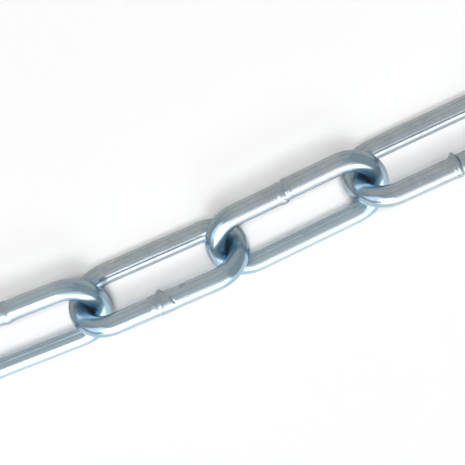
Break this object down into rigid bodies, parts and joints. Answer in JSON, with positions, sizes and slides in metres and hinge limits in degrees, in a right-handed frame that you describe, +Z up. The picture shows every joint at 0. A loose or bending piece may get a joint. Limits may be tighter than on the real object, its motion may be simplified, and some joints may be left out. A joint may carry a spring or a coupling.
{
  "type": "long link steel chain",
  "caption": "Straight length of welded long-link chain in bright zinc-plated round steel wire, its links leaning left and right in turn as it lies on a floor.",
  "frame": {"origin": "on the floor, under the middle of the chain's box", "axes": "+X along the chain from its first link to its last, +Y to the left, +Z up from the floor"},
  "size_m": [1.0128, 0.0226, 0.0179],
  "materials": {
    "zinc_plated_steel": "bright zinc plating, satin, with fine drawing lines along the wire"
  },
  "bodies": {
    "link_01": {"link_01": "zinc_plated_steel"},
    "link_02": {"link_02": "zinc_plated_steel"},
    "link_03": {"link_03": "zinc_plated_steel"},
    "link_04": {"link_04": "zinc_plated_steel"},
    "link_05": {"link_05": "zinc_plated_steel"},
    "link_06": {"link_06": "zinc_plated_steel"},
    "link_07": {"link_07": "zinc_plated_steel"},
    "link_08": {"link_08": "zinc_plated_steel"},
    "link_09": {"link_09": "zinc_plated_steel"},
    "link_10": {"link_10": "zinc_plated_steel"},
    "link_11": {"link_11": "zinc_plated_steel"},
    "link_12": {"link_12": "zinc_plated_steel"},
    "link_13": {"link_13": "zinc_plated_steel"},
    "link_14": {"link_14": "zinc_plated_steel"},
    "link_15": {"link_15": "zinc_plated_steel"},
    "link_16": {"link_16": "zinc_plated_steel"},
    "link_17": {"link_17": "zinc_plated_steel"},
    "link_18": {"link_18": "zinc_plated_steel"},
    "link_19": {"link_19": "zinc_plated_steel"},
    "link_20": {"link_20": "zinc_plated_steel"},
    "link_21": {"link_21": "zinc_plated_steel"},
    "link_22": {"link_22": "zinc_plated_steel"},
    "link_23": {"link_23": "zinc_plated_steel"},
    "link_24": {"link_24": "zinc_plated_steel"}
  },
  "joints": [
    {"name": "link_02_swing", "type": "hinge", "parent": "link_01", "child": "link_02", "pos_m": [-0.45538, 0.00078, 0.00874], "axis": [0.0064, 0.766, 0.6428], "range_deg": [-135, 135]},
    {"name": "link_03_swing", "type": "hinge", "parent": "link_02", "child": "link_03", "pos_m": [-0.41371, -0.00089, 0.00874], "axis": [-0.0307, -0.7654, 0.6428], "range_deg": [-135, 135]},
    {"name": "link_04_swing", "type": "hinge", "parent": "link_03", "child": "link_04", "pos_m": [-0.37201, -0.00112, 0.00874], "axis": [-0.0043, -0.766, -0.6428], "range_deg": [-135, 135]},
    {"name": "link_05_swing", "type": "hinge", "parent": "link_04", "child": "link_05", "pos_m": [-0.33034, 0.00047, 0.00874], "axis": [-0.0292, 0.7655, -0.6428], "range_deg": [-135, 135]},
    {"name": "link_06_swing", "type": "hinge", "parent": "link_05", "child": "link_06", "pos_m": [-0.28865, 0.00126, 0.00874], "axis": [-0.0144, 0.7659, 0.6428], "range_deg": [-135, 135]},
    {"name": "link_07_swing", "type": "hinge", "parent": "link_06", "child": "link_07", "pos_m": [-0.24697, -0.00006, 0.00874], "axis": [-0.0242, -0.7657, 0.6428], "range_deg": [-135, 135]},
    {"name": "link_08_swing", "type": "hinge", "parent": "link_07", "child": "link_08", "pos_m": [-0.20529, -0.00131, 0.00874], "axis": [-0.0228, -0.7657, -0.6428], "range_deg": [-135, 135]},
    {"name": "link_09_swing", "type": "hinge", "parent": "link_08", "child": "link_09", "pos_m": [-0.1636, -0.00042, 0.00874], "axis": [-0.0163, 0.7659, -0.6428], "range_deg": [-135, 135]},
    {"name": "link_10_swing", "type": "hinge", "parent": "link_09", "child": "link_10", "pos_m": [-0.12193, 0.00113, 0.00874], "axis": [-0.0285, 0.7655, 0.6428], "range_deg": [-135, 135]},
    {"name": "link_11_swing", "type": "hinge", "parent": "link_10", "child": "link_11", "pos_m": [-0.08023, 0.00078, 0.00874], "axis": [-0.0064, -0.766, 0.6428], "range_deg": [-135, 135]},
    {"name": "link_12_swing", "type": "hinge", "parent": "link_11", "child": "link_12", "pos_m": [-0.03856, -0.00089, 0.00874], "axis": [-0.0307, -0.7654, -0.6428], "range_deg": [-135, 135]},
    {"name": "link_13_swing", "type": "hinge", "parent": "link_12", "child": "link_13", "pos_m": [0.00314, -0.00112, 0.00874], "axis": [0.0043, 0.766, -0.6428], "range_deg": [-135, 135]},
    {"name": "link_14_swing", "type": "hinge", "parent": "link_13", "child": "link_14", "pos_m": [0.04481, 0.00047, 0.00874], "axis": [-0.0292, 0.7655, 0.6428], "range_deg": [-135, 135]},
    {"name": "link_15_swing", "type": "hinge", "parent": "link_14", "child": "link_15", "pos_m": [0.0865, 0.00126, 0.00874], "axis": [0.0144, -0.7659, 0.6428], "range_deg": [-135, 135]},
    {"name": "link_16_swing", "type": "hinge", "parent": "link_15", "child": "link_16", "pos_m": [0.12818, -0.00006, 0.00874], "axis": [-0.0242, -0.7657, -0.6428], "range_deg": [-135, 135]},
    {"name": "link_17_swing", "type": "hinge", "parent": "link_16", "child": "link_17", "pos_m": [0.16986, -0.00131, 0.00874], "axis": [0.0228, 0.7657, -0.6428], "range_deg": [-135, 135]},
    {"name": "link_18_swing", "type": "hinge", "parent": "link_17", "child": "link_18", "pos_m": [0.21155, -0.00042, 0.00874], "axis": [-0.0163, 0.7659, 0.6428], "range_deg": [-135, 135]},
    {"name": "link_19_swing", "type": "hinge", "parent": "link_18", "child": "link_19", "pos_m": [0.25322, 0.00113, 0.00874], "axis": [0.0285, -0.7655, 0.6428], "range_deg": [-135, 135]},
    {"name": "link_20_swing", "type": "hinge", "parent": "link_19", "child": "link_20", "pos_m": [0.29492, 0.00078, 0.00874], "axis": [-0.0064, -0.766, -0.6428], "range_deg": [-135, 135]},
    {"name": "link_21_swing", "type": "hinge", "parent": "link_20", "child": "link_21", "pos_m": [0.33659, -0.00089, 0.00874], "axis": [0.0307, 0.7654, -0.6428], "range_deg": [-135, 135]},
    {"name": "link_22_swing", "type": "hinge", "parent": "link_21", "child": "link_22", "pos_m": [0.37828, -0.00112, 0.00874], "axis": [0.0043, 0.766, 0.6428], "range_deg": [-135, 135]},
    {"name": "link_23_swing", "type": "hinge", "parent": "link_22", "child": "link_23", "pos_m": [0.41995, 0.00047, 0.00874], "axis": [0.0292, -0.7655, 0.6428], "range_deg": [-135, 135]},
    {"name": "link_24_swing", "type": "hinge", "parent": "link_23", "child": "link_24", "pos_m": [0.46165, 0.00126, 0.00874], "axis": [0.0144, -0.7659, -0.6428], "range_deg": [-135, 135]}
  ]
}
